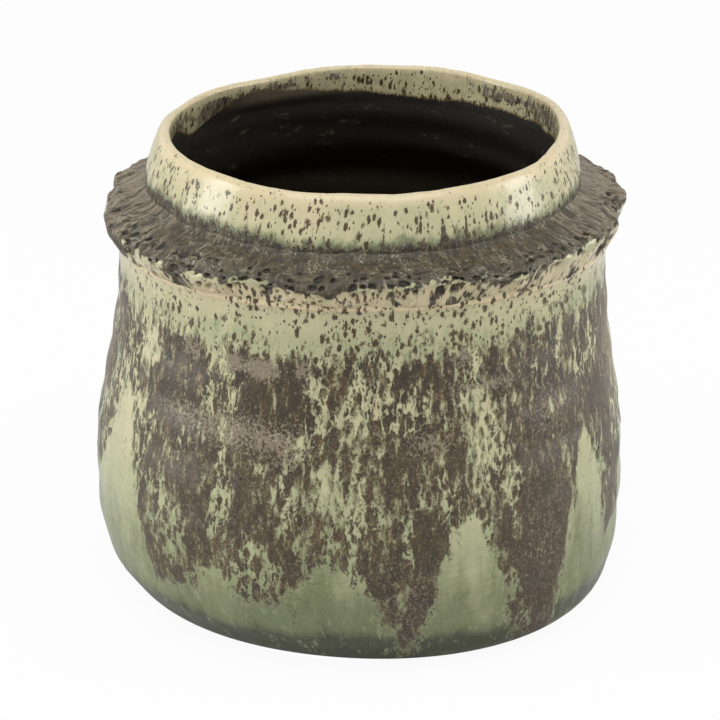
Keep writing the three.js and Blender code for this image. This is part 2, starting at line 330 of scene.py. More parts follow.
class PotForm(bpy.types.PropertyGroup):
    """Sizes of the pot, as in its frame."""

    foot_radius: length("Foot radius", "Outer edge of the ring on the ground", 70 * MM)
    ring_width: length("Foot ring", "Flat width of that ring", 10 * MM)
    recess: length("Recess", "Depth of the turned recess inside the ring", 2.5 * MM)
    floor_top: length("Floor", "Ground to the top of the clay floor", low("liner_glaze"))
    base_height: length("Base", "Ground to the joint of foot and wall", low("body_wall"))
    cove_radius: length("Cove", "Reach of the sweep from floor to wall", 12 * MM)
    drain_radius: length("Drain hole", "Radius of the hole in the floor", 6.5 * MM)
    belly_radius: length("Belly radius", "Widest part", 90 * MM)
    belly_height: length("Belly height", "Height of the widest part", 38 * MM)
    roll: bpy.props.FloatProperty(name="Roll", description="Tightness of the foot's curve", default=0.44)
    body_height: length("Body height", "Ground to the seat of the collar", high("body_wall"))
    hollow_radius: length("Waist radius", "Waist under the shoulder ridge", 80.6 * MM)
    hollow_drop: length("Waist drop", "Seat down to the waist", 10 * MM)
    ridge_radius: length("Ridge radius", "Crest of the thin shoulder ridge", 81.4 * MM)
    ridge_drop: length("Ridge drop", "Seat down to the ridge at the front", 2 * MM)
    ridge_dip: length("Ridge dip", "How much lower the ridge runs at the sides", 3.5 * MM)
    seat_margin: length("Seat margin", "Ridge in to the edge of the seat", 1.2 * MM)
    wall: length("Wall", "Thickness of the wall", 6 * MM)
    gallery: length("Gallery", "Height over which the wall thickens to carry the neck", 14 * MM)
    flange_radius: length("Flange radius", "Middle of the torn edge", 84.5 * MM)
    flange_lift: length("Flange lift", "Seat up to the middle of the torn edge", 4.2 * MM)
    flange_thickness: length("Flange thickness", "Of the torn edge", 5.2 * MM)
    flange_rise: length("Flange rise", "Seat up to where the flange dies out on the neck", 12 * MM)
    neck_radius: length("Neck radius", "Neck above the flange", 70.7 * MM)
    neck_flare: length("Neck flare", "How much wider the foot of the neck is", 0.8 * MM)
    neck_thickness: length("Neck thickness", "At its foot", 5.5 * MM)
    neck_upright: length("Upright", "Flange to where the neck rounds in", 0.5 * MM)
    lip_overhang: length("Round-in", "Height over which the neck rounds in to the lip", 16 * MM)
    lip_tuck: length("Lip tuck", "Neck in to the crest of the lip", 6.7 * MM)
    lip_thickness: length("Lip thickness", "Of the rounded lip", 3.2 * MM)
    liner_thickness: length("Liner thickness", "Of the dark glaze inside", 0.9 * MM)
    glaze_gap: length("Glaze gap", "Liner to the clay behind it", 0.3 * MM)
    throwing_pitch: length("Throwing pitch", "Height of one throwing line", 16 * MM)
    throwing_depth: length("Throwing depth", "Depth of the throwing lines", 0.22 * MM)


class PotColours(bpy.types.PropertyGroup):
    """Fired colours of the clay and its glazes."""

    cream: colour("Cream", "Celadon where it is thin and milky", "bdb490")
    # Also laid as painted light in the shade under the flange.
    blush_and_painted_light: colour("Blush", "Clay showing pink through glaze on the lip and ridge", "d4bc98")
    celadon: colour("Celadon", "The same glaze at its usual thickness", "a3a47f")
    green: colour("Green", "Celadon where it is thick, low on the wall", "6f7650")
    olive: colour("Olive", "Celadon pooled dark above the foot", "343819")
    mint: colour("Mint", "Milky edge where umber meets celadon", "8c926d")
    moss: colour("Moss", "Dark green margin of the crust", "5a6244")
    ochre: colour("Ochre", "Umber where it is thin over celadon", "665a3c")
    umber: colour("Umber", "Body of the runs", "463824")
    dark_umber: colour("Dark umber", "Thick places in the runs", "2c2313")
    rust: colour("Rust", "Thin edges of the runs", "654a24")
    frost: colour("Frost", "Grey satin mottling of umber and crust", "62563d")
    # Also laid as painted sheen at the left and right edges of the wall and flange as seen.
    bloom_and_sheen: colour("Bloom", "Mauve-grey matt lace on the runs", "7f725f")
    crust: colour("Crust", "Dry glaze on the flange", "433b28")
    shade: colour("Shade", "Thick dark places in that crust", "282316")
    lace: colour("Lace", "Pale curls in that crust", "a09c86")
    speck: colour("Speck", "Iron spots", "35260f")
    hole: colour("Hole", "Inside of a pinhole", "15110c")
    liner: colour("Liner", "Glaze inside the pot", "18140d")
    clay: colour("Clay", "Bare fired stoneware under the foot", "8d6e4f")


class PotStage(bpy.types.PropertyGroup):
    """Camera, lamps and backdrop."""

    distance: length("Distance", "Camera to the point it looks at", 810 * MM)
    aim_height: length("Aim height", "Height of that point, on the pot's axis", 73.2 * MM)
    elevation: bpy.props.FloatProperty(
        name="Elevation", description="Camera above the horizon", default=np.radians(24.32), subtype="ANGLE"
    )
    lens: bpy.props.FloatProperty(
        name="Lens", description="Focal length on a 36 mm sensor", default=120.6, unit="CAMERA"
    )
    backdrop: colour("Backdrop", "Paper under and behind the pot", "ffffff")
    paper_light: bpy.props.FloatProperty(
        name="Paper light", description="Share of paper seen as plain white", default=0.94, subtype="FACTOR"
    )


# ---- The pot's outline ------------------------------------------------------------------------------
class Outline:
    """Radii of the pot at any height, worked out from the sizes."""

    def __init__(self, form):
        self.form = form
        self.hollow_height = form.body_height - form.hollow_drop
        self.ridge_height = form.body_height - form.ridge_drop
        self.seat_radius = form.ridge_radius - form.seat_margin
        self.flange_top = form.body_height + form.flange_rise
        self.round_in = self.flange_top + form.neck_upright
        self.pot_height = self.round_in + form.lip_overhang
        self.lip_centre = self.pot_height - form.lip_thickness / 2
        self.lip_radius = form.neck_radius - form.lip_tuck
        self.neck_foot = form.neck_radius + form.neck_flare
        self.neck_inner = self.neck_foot - form.neck_thickness
        self.liner_top = high("liner_glaze")
        self.cove_start = self.outside(form.base_height) - form.wall - form.cove_radius

    def outside(self, height):
        """A quarter of a superellipse up to the belly, then half a cosine wave in to the waist."""
        form = self.form
        below = np.clip(1 - height / form.belly_height, 0, 1)
        swell = blend(form.foot_radius, form.belly_radius, (1 - below**2) ** form.roll)
        climb = np.clip((height - form.belly_height) / (self.hollow_height - form.belly_height), 0, 1)
        taper = blend(form.belly_radius, form.hollow_radius, (1 - np.cos(np.pi * climb)) / 2)
        return np.where(height < form.belly_height, swell, taper)

    def wall_inside(self, height):
        """The outside less the wall, eased in over the gallery to the neck's inner face."""
        plain = self.outside(height) - self.form.wall
        drawn_in = smooth(height, self.form.body_height - self.form.gallery, self.form.body_height)
        return blend(plain, self.neck_inner, drawn_in)

    def neck_outside(self, height):
        """A slight taper up out of the flange, then a power curve in to the lip."""
        rise = np.clip((height - self.form.body_height) / self.form.flange_rise, 0, 1)
        lean = np.clip((height - self.round_in) / self.form.lip_overhang, 0, 1)
        side = blend(self.neck_foot, self.form.neck_radius, rise)
        return blend(side, self.lip_radius + self.form.lip_thickness / 2, lean**1.5)

    def neck_inside(self, height):
        """A cubic ease from the gallery in to the lip."""
        rise = (height - self.form.body_height) / (self.lip_centre - self.form.body_height)
        return blend(self.neck_inner, self.lip_radius - self.form.lip_thickness / 2, smooth(rise, 0, 1))

    def cove(self):
        """A quarter of an ellipse from the foot of the wall's inside to the floor."""
        reach = (self.form.cove_radius, self.form.floor_top - self.form.base_height)
        return arc((self.cove_start, self.form.base_height), reach, 0, np.pi / 2)

    def shape(self, radius, height, angle, skin):
        """What the whole pot shares. The foot and neck stand a little aside, the foot, belt and lip are
        out of round by sums of cosines, the throwing lines climb round the wall as a sine wave, and the
        lip rises and falls. Returns x, y and z."""
        form = self.form
        share = smooth(radius, form.drain_radius * 2, form.foot_radius - form.ring_width)
        near_lip = smooth(height, self.flange_top, self.pot_height)
        near_foot = 1 - smooth(height, 0, form.belly_height)
        belt = (1 - near_foot) * (1 - smooth(height, self.hollow_height, self.flange_top))
        lean = FOOT_LEAN * np.exp(-((height / FOOT_LEAN_HEIGHT) ** 2)) + LIP_LEAN * near_lip
        lean = lean + NECK_LEAN * smooth(height, form.belly_height, self.hollow_height)
        fade = 12 * MM
        lines = 1 - smooth(height, self.hollow_height - fade, self.hollow_height)
        lines = lines * smooth(height, 0, fade)
        throwing = form.throwing_depth * np.sin(TURN * height / form.throwing_pitch - angle)
        out_of_round = (
            near_foot * waves(FOOT_WAVES, angle)
            + belt * waves(BELT_WAVES, angle)
            + near_lip * waves(LIP_PLAN_WAVES, angle)
        )
        shaped = radius + share * (out_of_round + skin * lines * throwing)
        lifted = height + near_lip * waves(LIP_HEIGHT_WAVES, angle)
        return shaped * np.cos(angle) + share * lean, shaped * np.sin(angle), lifted


# ---- Meshes -----------------------------------------------------------------------------------------
def spaced(radius, height, spacing):
    """A run of profile points at even steps along itself, without its last point."""
    along = np.concatenate(([0], np.cumsum(np.hypot(np.diff(radius), np.diff(height)))))
    count = max(1, round(along[-1] / spacing))
    places = np.linspace(0, along[-1], count + 1)[:-1]
    return np.stack((np.interp(places, along, radius), np.interp(places, along, height)))


def joined(*runs):
    """Runs of profile points end to end, each with its spacing, as radius, height and distance along, and
    the row that each run ends before."""
    runs = [spaced(*run, spacing) for run, spacing in runs]
    radius, height = np.concatenate(runs, 1)
    along = np.cumsum(np.hypot(np.diff(radius, prepend=radius[0]), np.diff(height, prepend=height[0])))
    return radius, height, along, np.cumsum([run.shape[1] for run in runs])


def bearings(count):
    """Even angles right round the pot, as a row."""
    return np.linspace(-np.pi, np.pi, count, endpoint=False)[None, :]


def upright(*values):
    """Each list of values as a column, one for each row of the grid."""
    return [one[:, None] for one in values]


def steps(start, end, count=400):
    """Even heights or angles from start to end."""
    return np.linspace(start, end, count)


def traced(side, start, end):
    """The run of a side, which has a radius for each height, from one height to another."""
    heights = steps(start, end)
    return np.stack((side(heights), heights))


def straight(*points):
    """A run from point to point, each a radius and a height."""
    return np.array(points).T


def arc(middle, reach, start, end, count=60):
    """Part of an ellipse about its middle, between two angles above the horizontal."""
    turn = steps(start, end, count)
    return np.stack((middle[0] + reach[0] * np.cos(turn), middle[1] + reach[1] * np.sin(turn)))


def bezier(*points, count=200):
    """A Bezier curve from the first point to the last, pulled towards the others, by blending each
    point with the next until one is left."""
    share = np.linspace(0, 1, count)
    curve = [(one[0] + 0 * share, one[1] + 0 * share) for one in points]
    while len(curve) > 1:
        curve = [(blend(a, c, share), blend(b, d, share)) for (a, b), (c, d) in zip(curve, curve[1:])]
    return curve[0]


def normals(x, y, z):
    """Outward unit normals of a surface that closes on itself both ways, from central differences."""
    place = np.stack((x, y, z))
    along = np.roll(place, -1, 1) - np.roll(place, 1, 1)
    round_pot = np.roll(place, -1, 2) - np.roll(place, 1, 2)
    cross = np.cross(round_pot, along, axis=0)
    return cross / np.maximum(np.linalg.norm(cross, axis=0), 1e-12)


def skin_mesh(name, x, y, z, flow, layers):
    """A mesh object from a grid that closes on itself both ways, with flow, a vector, and each layer, a
    number, as attributes of its points."""
    rows, columns = x.shape
    mesh = bpy.data.meshes.new(name)
    mesh.vertices.add(rows * columns)
    mesh.vertices.foreach_set("co", np.stack((x, y, z), -1).astype(np.float32).ravel())
    row, column = np.meshgrid(np.arange(rows), np.arange(columns), indexing="ij")
    next_row, next_column = (row + 1) % rows, (column + 1) % columns
    corners = ((row, column), (row, next_column), (next_row, next_column), (next_row, column))
    corners = np.stack([one * columns + other for one, other in corners], -1)
    mesh.loops.add(corners.size)
    mesh.loops.foreach_set("vertex_index", corners.astype(np.int32).ravel())
    mesh.polygons.add(x.size)
    mesh.polygons.foreach_set("loop_start", np.arange(0, corners.size, 4, dtype=np.int32))
    mesh.update(calc_edges=True)
    place = mesh.attributes.new("flow", "FLOAT_VECTOR", "POINT")
    place.data.foreach_set("vector", np.stack(flow, -1).astype(np.float32).ravel())
    if layers:
        layers = {**LAYERS, **layers}
        assert len(layers) == len(LAYERS), "a layer has a name that no glaze reads"
    for label, values in layers.items():
        layer = mesh.attributes.new(label, "FLOAT", "POINT")
        layer.data.foreach_set("value", np.broadcast_to(values, x.shape).astype(np.float32).ravel())
    mesh.shade_smooth()
    mesh.validate()
    piece = bpy.data.objects.new(name, mesh)
    bpy.context.collection.objects.link(piece)
    return piece


def flow_field(angle, along, radius):
    """Millimetres round and along the pot, as a point on a drum, so that patterns meet themselves. Where
    the pot is narrow, so is the drum."""
    around = BELT / MM * np.minimum(1, radius / FULL_DRUM)
    return np.broadcast_arrays(around * np.cos(angle), around * np.sin(angle), along / MM)


def raised(x, y, z, relief):
    """The surface moved along its normals."""
    nx, ny, nz = normals(x, y, z)
    return x + relief * nx, y + relief * ny, z + relief * nz


def stand_in(piece, colours, slot, *nodes):
    """The piece takes the place of these nodes, in the glaze that its slot names, and rides on the pot."""
    if slot == "liner_glaze":
        make, name = LinerGlaze, "Black liner glaze"
    else:
        make, name = StonewareGlaze, "Celadon and umber glazes on stoneware"
    piece.data.materials.append(bpy.data.materials.get(name) or make(name, colours).material)
    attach(piece, BODY)
    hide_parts(*nodes)


# ---- Where the coats lie ----------------------------------------------------------------------------
def run_edge(angle):
    """Height of the umber's lower edge: low and round at a run's tip, then a steep rise to the window."""
    edge = np.zeros_like(angle)
    count = len(RUNS)
    for index, (bearing, half, tip, window) in enumerate(RUNS):
        next_bearing, next_half, next_tip, _ = RUNS[(index + 1) % count]
        after = apart(angle, bearing) % 360
        gap = (next_bearing - bearing) % 360
        inside = after < gap
        middle = blend(half, gap - next_half, 0.5)
        up = smooth(np.clip(after, half, middle), half, middle) ** 0.5
        down = smooth(np.clip(gap - after, next_half, gap - middle), next_half, gap - middle) ** 0.5
        here = np.where(after < middle, blend(tip, window, up), blend(next_tip, window, down))
        edge = np.where(inside, here, edge)
    return edge * MM


def wall_umber(angle, height):
    """Umber on the wall: -1 clear, 0 an even mix, 1 solid. It lies between a ragged upper edge and the
    runs' lower edge, thinner in some places and thicker in others; the glaze breaks it into streaks."""
    ragged = grain(angle, height, (3.5, 3.2, 16, 11), (2, 7, 30, 12))
    top = 108 + 3 * np.cos(np.radians(apart(angle, -40))) + 10 * np.exp(-((apart(angle, -176) / 14) ** 2))
    below = (top - height / MM + 0.9 * ragged) / 9
    steep = (run_edge(angle + 0.01) - run_edge(angle - 0.01)) / (0.02 * BELT)
    above = ((height - run_edge(angle)) / MM / np.hypot(1, 0.7 * steep) + 0.7 * ragged) / 5
    cover = np.clip(np.minimum(below, above), -1, 0.34)
    veins = grain(angle, height, (0.16, 3, 14, 13), (0.14, 7, 30, 14))
    inside = smooth(cover, -0.5, 0.3)
    # The frostings, and one thinning at the right edge as seen, also paint sheen of grazing reflections at
    # the pot's left and right edges.
    frosted_and_sheen = 0.45 * patches(angle, height, FROSTINGS_AND_EDGE_SHEEN)
    return cover + inside * (veins + frosted_and_sheen - patches(angle, height, THINNINGS_AND_EDGE_SHEEN))


def crust_climb(angle):
    """How far the flange's crust climbs the neck past the flange's top, in millimetres: more at the
    left, and in small waves everywhere."""
    wave = grain(angle, 0 * angle, (1.1, 2.2, 30, 54), (1.2, 7, 40, 55))
    return 1.5 + 1.5 * np.exp(-((apart(angle, -152) / 18) ** 2)) + wave


def crust_margin(climb, above):
    """Crust near the top of its climb: whole below it, and gone a little above it."""
    return np.clip((climb - above) / CRUST_FADE, CRUST_NONE, CRUST_WHOLE)


def neck_pool(above):
    """How thick the celadon lies on the neck: more where it meets the crust."""
    return 0.16 + 0.3 * (1 - smooth(above, 0, 6))


# ---- Materials --------------------------------------------------------------------------------------
FACTOR, COLOUR_A, COLOUR_B, COLOUR_OUT = 0, 6, 7, 2  # sockets of a Mix node set to colours
# What the stoneware glaze reads from a mesh, each with its value where a piece says nothing of it.
LAYERS = {
    "umber": -1,
    "crust": -1,
    "liner": -1,
    "pool": 0,
    "blush_and_painted_light": 0,
    "bare": 0,
    "specks": 0,
    "frost": 0,
    "amber": 0,
    "moss": 0,
    "craze": 0,
    "holes": 0,
    "dusty": 0,
}
# Nets of iron specks: cell width and height in millimetres, and the largest speck as a share of them.
SPECK_NETS = ((1.9, 3.6, 0.42), (3.6, 6.2, 0.28), (1.2, 2.0, 0.3), (2.6, 9.0, 0.17))


def add(tree, kind, inputs, **settings):
    """Adds a node with its settings and returns its outputs; an input that is a socket is linked, and
    any other is its value."""
    node = tree.nodes.new(kind)
    for name, value in settings.items():
        setattr(node, name, value)
    for name, value in inputs.items():
        if isinstance(value, bpy.types.NodeSocket):
            tree.links.new(value, node.inputs[name])
        else:
            node.inputs[name].default_value = value
    return node.outputs


class GlazeTree:
    """A glaze's nodes: patterns measured in millimetres on the pot, and coats laid one on another."""

    def __init__(self, name, colours):
        self.material = bpy.data.materials.new(name)
        self.material.use_nodes = True
        self.tree = self.material.node_tree
        self.tree.nodes.clear()
        self.colours = colours
        self.flow = self.layer("flow", "Vector")

    def layer(self, label, output="Fac"):
        """What the mesh says at each point."""
        return add(self.tree, "ShaderNodeAttribute", {}, attribute_name=label)[output]

    def math(self, operation, *values):
        """The operation on these numbers."""
        return add(self.tree, "ShaderNodeMath", dict(enumerate(values)), operation=operation)[0]

    def cells(self, across, along):
        """Places counted in cells of this many millimetres across and along."""
        scale = (1 / across, 1 / across, 1 / along)
        return add(self.tree, "ShaderNodeVectorMath", {0: self.flow, 1: scale}, operation="MULTIPLY")[0]

    def cloud(self, across, along, detail=3.0, roughness=0.55, distortion=0.0, output="Fac"):
        """Smooth random values about 0.5."""
        values = {"Vector": self.cells(across, along), "Scale": 1.0, "Detail": detail}
        values.update({"Roughness": roughness, "Distortion": distortion})
        return add(self.tree, "ShaderNodeTexNoise", values)[output]

    def swayed(self, sway, size, place):
        """The place, moved by a random vector times a size."""
        values = {0: sway, 1: size, 2: place}
        return add(self.tree, "ShaderNodeVectorMath", values, operation="MULTIPLY_ADD")[0]

    def points(self, place, feature="F1"):
        """A random point in each cell: how far it is, and a random colour for it."""
        return add(self.tree, "ShaderNodeTexVoronoi", {"Vector": place, "Scale": 1.0}, feature=feature)

    def rise(self, value, start, end, first=0.0, last=1.0):
        """Eases from first to last as the value goes from start to end."""
        values = {"Value": value, "From Min": start, "From Max": end, "To Min": first, "To Max": last}
        return add(self.tree, "ShaderNodeMapRange", values, interpolation_type="SMOOTHSTEP")[0]

    def broken(self, value, *terms):
        """The value, broken up by clouds, each with its size."""
        for cloud, size in terms:
            value = self.math("ADD", value, self.math("MULTIPLY_ADD", cloud, 2 * size, -size))
        return value

    def both(self, *masks):
        """Product of masks."""
        product = masks[0]
        for mask in masks[1:]:
            product = self.math("MULTIPLY", product, mask)
        return product

    def over(self, under, mask, top):
        """The top colour, or the glaze colour of that name, laid on the one under it."""
        top = tuple(getattr(self.colours, top)) if isinstance(top, str) else top
        values = {FACTOR: mask, COLOUR_A: under, COLOUR_B: top}
        return add(self.tree, "ShaderNodeMix", values, data_type="RGBA")[COLOUR_OUT]

    def coats(self, under, *coats):
        """Coats laid in turn, each a mask and a colour; under is a colour's name."""
        tone = tuple(getattr(self.colours, under))
        for mask, top in coats:
            tone = self.over(tone, mask, top)
        return tone

    def finish(self, tone, rough, bump, ior):
        """Glass over clay, so no metal."""
        normal = add(self.tree, "ShaderNodeBump", bump)[0]
        shader = {"Base Color": tone, "Roughness": rough, "Normal": normal, "IOR": ior, "Metallic": 0.0}
        surface = add(self.tree, "ShaderNodeBsdfPrincipled", shader)[0]
        add(self.tree, "ShaderNodeOutputMaterial", {"Surface": surface})


class StonewareGlaze(GlazeTree):
    """Stoneware under two glazes, dipped and fired to run: a celadon, milky where thin and green where
    it pools, and over it an iron umber that broke into streaks. Glass-like, so IOR 1.5; the gloss is
    high on celadon, satin on umber and nearly dry on the flange's crust."""

    def __init__(self, name, colours):
        super().__init__(name, colours)
        self.layers = {label: self.layer(label) for label in LAYERS}
        self.streak = self.cloud(3.2, 12, 2, 0.5, 0.5)
        self.dash = self.cloud(1.7, 4.4, 3, 0.6, 0.5)
        self.blotch = self.cloud(1.7, 2.4, 4, 0.65, 0.5)
        self.grit = self.cloud(0.6, 0.9, 3, 0.65)
        self.pepper = self.cloud(0.9, 1.1, 3, 0.75, 0.3)
        self.drift = self.cloud(9, 34, 3, 0.5)
        self.curl = self.cloud(2.4, 2.4, 4, 0.6, 1.2)
        self.wobble = self.cloud(0.9, 1.5, 2, 0.5, output="Color")
        self.lay_umber()
        self.lay_crust()
        self.lay_specks()
        self.prick_holes()
        depth = self.broken(self.layers["liner"], (self.cloud(0.8, 3.2, 4, 0.6), 0.9), (self.grit, 0.3))
        self.liner = self.rise(depth, -0.1, 0.2)
        self.fringe = self.rise(depth, -0.6, 0.0, 0.0, 0.7)
        bump = {"Height": self.relief(), "Strength": 1.0, "Distance": MM}
        self.finish(self.tone(), self.gloss(), bump, 1.5)

    def lay_umber(self):
        """Masks of the umber, which goes from a milky edge through ochre to dark brown over a millimetre
        or so, and which opens along a net of veins."""
        layers = self.layers
        sway = self.cloud(2.4, 4, 2, 0.5, output="Color")
        net = self.points(self.swayed(sway, (1.5, 1.5, 1.1), self.cells(3.2, 8.5)), "DISTANCE_TO_EDGE")[0]
        opened = self.broken(layers["umber"], (self.cloud(9, 22, 2, 0.5), 1.6))
        veins = self.rise(self.broken(net, (self.dash, 0.16), (self.grit, 0.08)), 0.18, 0.0)
        veins = self.both(veins, self.rise(opened, 0.45, -0.05, 0.0, -0.9))
        depth = self.math("ADD", layers["umber"], veins)
        depth = self.broken(depth, (self.streak, 1.0), (self.dash, 1.25), (self.grit, 0.6))
        amber = self.broken(layers["amber"], (self.cloud(2.2, 12, 3, 0.6), 1.4), (self.dash, 0.4))
        deep = self.rise(self.broken(self.streak, (self.grit, 0.2)), 0.4, 0.56)
        frost = self.broken(layers["frost"], (self.pepper, 1.5), (self.blotch, 0.6))
        fleck = self.rise(self.cloud(0.7, 0.8, 2, 0.6), 0.56, 0.68)
        self.umber = self.rise(depth, -0.36, 0.26)
        self.mint = self.rise(depth, -0.9, -0.15)
        self.dark = self.rise(depth, 0.04, 0.52)
        self.thick = self.rise(self.broken(depth, (self.drift, 1.0)), 0.25, 0.8)
        self.amber = self.rise(amber, 0.3, 0.7)
        self.deep = self.both(self.rise(layers["amber"], 0.3, 0.55), deep)
        self.frost = self.rise(frost, 0.4, 0.72)
        self.fleck = self.both(fleck, self.rise(layers["frost"], 0.1, 0.7, 0.25, 0.9))

    def lay_crust(self):
        """Masks of the dry crust on the flange, its green margin, its silvery streaks, which are painted
        sheen of grazing reflections at the flange's left and right as seen and grey crust inside the lip,
        and, along the winding line where a cloud passes through 0.5, its pale curls."""
        ragged = ((self.cloud(2.2, 3.2, 3, 0.6, 0.3), 1.1), (self.blotch, 0.5), (self.grit, 0.35))
        depth = self.broken(self.layers["crust"], *ragged)
        silver_and_sheen = self.broken(self.layers["frost"], (self.cloud(1.3, 8, 3, 0.6), 1.8), (self.pepper, 0.4))
        width = 0.025
        up = self.rise(self.curl, 0.5 - width, 0.5 - width / 3)
        down = self.rise(self.curl, 0.5 + width, 0.5 + width / 3)
        self.crust = self.rise(depth, -0.14, 0.12)
        self.margin = self.rise(depth, -1.15, -0.15)
        self.silver_and_sheen = self.rise(silver_and_sheen, 0.35, 0.8)
        self.lace = self.both(up, down, self.rise(self.cloud(5, 5, 2), 0.46, 0.62))

    def lay_specks(self):
        """Masks of iron specks and their rusty edges: an upright spot in some cells of each net, in more
        of them where the specks layer is high."""
        self.speck = self.halo = 0.0
        for across, along, largest in SPECK_NETS:
            place = self.swayed(self.wobble, (0.8, 0.8, 0.5), self.cells(across, along))
            spots = self.points(place)
            chance = add(self.tree, "ShaderNodeSeparateColor", {0: spots["Color"]})[0]
            reach = self.rise(self.math("ADD", chance, self.layers["specks"]), 0.95, 1.45, 0.0, largest)
            edge = self.math("SUBTRACT", reach, spots["Distance"])
            self.speck = self.math("MAXIMUM", self.rise(edge, 0.0, 0.12), self.speck)
            self.halo = self.math("MAXIMUM", self.rise(edge, -0.07, 0.06), self.halo)

    def prick_holes(self):
        """Masks of pinholes in the umber and the crust, and of crazing in the clear celadon."""
        pins = self.points(self.cells(6.5, 6.5))
        chance = add(self.tree, "ShaderNodeSeparateColor", {0: pins["Color"]})[1]
        edge = self.math("SUBTRACT", self.rise(chance, 0.6, 1.0, 0.0, 0.085), pins["Distance"])
        pin = self.both(self.rise(edge, 0.0, 0.025), self.math("MAXIMUM", self.umber, self.crust))
        self.hole = self.math("MAXIMUM", pin, self.layers["holes"])
        place = self.swayed(self.wobble, (0.2, 0.2, 0.2), self.cells(4.6, 8.5))
        crack = self.rise(self.points(place, "DISTANCE_TO_EDGE")[0], 0.02, 0.004)
        self.craze = self.both(crack, self.layers["craze"], self.rise(self.drift, 0.35, 0.6))

    def tone(self):
        """Colour, laid on coat by coat as the glazes were."""
        layers = self.layers
        pool = ((self.drift, 0.3), (self.cloud(5, 1.4, 3), 0.1), (self.cloud(1.6, 10, 3), 0.1))
        pool = self.broken(layers["pool"], *pool)
        iron = self.coats(
            "ochre",
            (self.both(self.amber, 0.85), "rust"),
            (self.dark, "umber"),
            (self.rise(self.cloud(2.6, 7, 4, 0.6, 0.4), 0.46, 0.62, 0.0, 0.8), "dark_umber"),
            (self.both(self.amber, self.thick, 0.35), "rust"),
            (self.rise(self.grit, 0.5, 0.64, 0.0, 0.6), "dark_umber"),
            (self.both(self.thick, 0.5), "dark_umber"),
            (self.rise(self.pepper, 0.5, 0.66, 0.0, 0.6), "frost"),
            (self.both(self.deep, self.dark, 0.75), "dark_umber"),
            # Bloom, and at the pot's left and right edges as seen, painted sheen.
            (self.both(self.frost, 0.9), "bloom_and_sheen"),
            (self.both(self.fleck, 0.8), "lace"),
        )
        dry = self.coats(
            "crust",
            (self.rise(self.cloud(4.5, 4.5, 4, 0.6, 0.5), 0.44, 0.58, 0.0, 0.9), "shade"),
            (self.rise(self.pepper, 0.5, 0.64, 0.0, 0.7), "frost"),
            (self.rise(self.blotch, 0.5, 0.62), "shade"),
            # Painted sheen at the flange's left and right as seen; grey crust inside the lip.
            (self.both(self.silver_and_sheen, 0.75), "bloom_and_sheen"),
            (self.both(self.lace, 0.75), "lace"),
        )
        return self.coats(
            "cream",
            (self.rise(pool, 0.05, 0.42), "celadon"),
            (self.rise(pool, 0.38, 0.75), "green"),
            (self.rise(pool, 0.72, 1.2), "olive"),
            # Blush of clay through thin glaze on lip and ridge, and painted light in the shade under the
            # flange.
            (layers["blush_and_painted_light"], "blush_and_painted_light"),
            (self.both(self.mint, self.rise(self.dash, 0.35, 0.65, 0.6, 1.0)), "mint"),
            (self.both(self.margin, layers["moss"]), "moss"),
            (self.both(self.craze, 0.4), "speck"),
            (self.both(self.halo, self.rise(self.drift, 0.4, 0.6, 0.25, 0.8)), "rust"),
            (self.both(self.speck, 0.92), "speck"),
            (self.umber, iron),
            (self.crust, dry),
            (self.fringe, "rust"),
            (self.liner, self.coats("liner", (layers["dusty"], "bloom_and_sheen"))),
            (self.both(self.hole, 0.9), "hole"),
            (layers["bare"], "clay"),
        )

    def gloss(self):
        """Roughness, from wet celadon to bare clay."""
        rough = self.rise(self.grit, 0.2, 0.8, 0.18, 0.26)
        for mask, top in (
            (self.speck, 0.38),
            (self.umber, self.rise(self.blotch, 0.3, 0.7, 0.34, 0.48)),
            (self.both(self.frost, self.umber), 0.62),
            (self.crust, self.rise(self.blotch, 0.3, 0.7, 0.4, 0.65)),
            (self.liner, 0.6),
            (self.layers["bare"], 0.85),
        ):
            rough = add(self.tree, "ShaderNodeMix", {0: mask, 2: rough, 3: top}, data_type="FLOAT")[0]
        return rough

    def relief(self):
        """Relief finer than the mesh, in millimetres: each coat stands on the one under it."""
        height = self.broken(0.0, (self.grit, 0.01), (self.cloud(3, 4, 2), 0.05))
        crusty = self.broken(0.16, (self.curl, 0.12), (self.blotch, 0.14), (self.grit, 0.04))
        for mask, rise in ((self.umber, 0.13), (self.speck, 0.06), (self.crust, crusty), (self.hole, -0.5)):
            height = self.math("MULTIPLY_ADD", mask, rise, height)
        return height


class LinerGlaze(GlazeTree):
    """Manganese liner glaze, poured in and out: near black, satin, with faint grey scuffs, and painted
    browner and lighter low down to lift the shade deep inside the pot. Its IOR of 1.3 stands for a skin
    dulled by ash."""

    def __init__(self, name, colours):
        super().__init__(name, colours)
        grit = self.cloud(0.9, 0.9, 3, 0.5)
        height = add(self.tree, "ShaderNodeSeparateXYZ", {0: self.flow})[2]
        scuff = self.rise(self.cloud(9, 3.5, 6, 0.75), 0.57, 0.7, 0.0, 0.3)
        # Painted light: the liner is mixed towards umber brown from 135 mm down to 70 mm, lifting the shade
        # deep inside the pot.
        tone = self.coats("liner", (self.rise(height, 135.0, 70.0, 0.0, 0.6), "umber"), (scuff, "bloom_and_sheen"))
        rough = {"Value": grit, "From Min": 0.3, "From Max": 0.7, "To Min": 0.58, "To Max": 0.75}
        rough = add(self.tree, "ShaderNodeMapRange", rough)[0]
        self.finish(tone, rough, {"Height": grit, "Strength": 0.35, "Distance": 0.4 * MM}, 1.3)


# ---- Operators --------------------------------------------------------------------------------------
class PotMaker:
    """What every operator of the pot shares."""

    bl_options = {"REGISTER", "UNDO"}

    def execute(self, context):
        """Builds the piece; a failure is raised, not returned."""
        self.build(context.scene.pot_form, context.scene.pot_colours)
        return {"FINISHED"}


